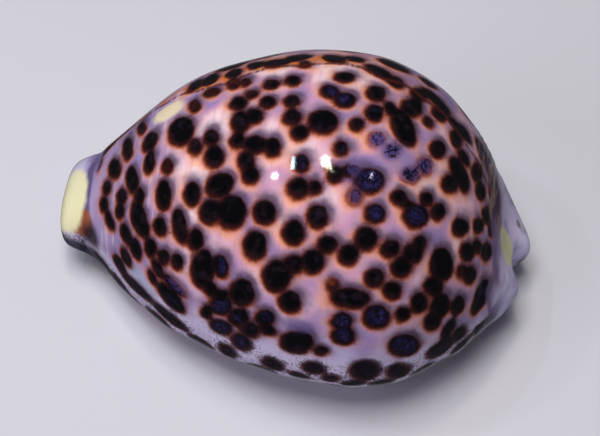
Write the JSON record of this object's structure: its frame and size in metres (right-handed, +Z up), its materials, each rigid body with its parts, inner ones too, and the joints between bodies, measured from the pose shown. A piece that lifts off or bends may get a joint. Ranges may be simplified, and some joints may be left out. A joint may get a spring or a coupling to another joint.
{
  "type": "cowrie shell",
  "caption": "Glossy egg-shaped tiger cowrie shell with a dark-spotted back, rolled toothed lips, a long slit aperture and a hollow inside, resting on its base.",
  "frame": {"origin": "centre of the bounding box at the base, on the surface that the lips rest on", "axes": "+X along the shell towards its rear (posterior) end with the two prongs, +Y towards the outer (labral) lip, +Z up through the spotted back"},
  "size_m": [0.085, 0.0583, 0.0475],
  "materials": {
    "shell_enamel": "glossy aragonite enamel: pinkish white ground with brown-black spots, pale callus at both ends and on the base"
  },
  "bodies": {
    "root": {"cowrie_shell": "shell_enamel"}
  },
  "joints": []
}
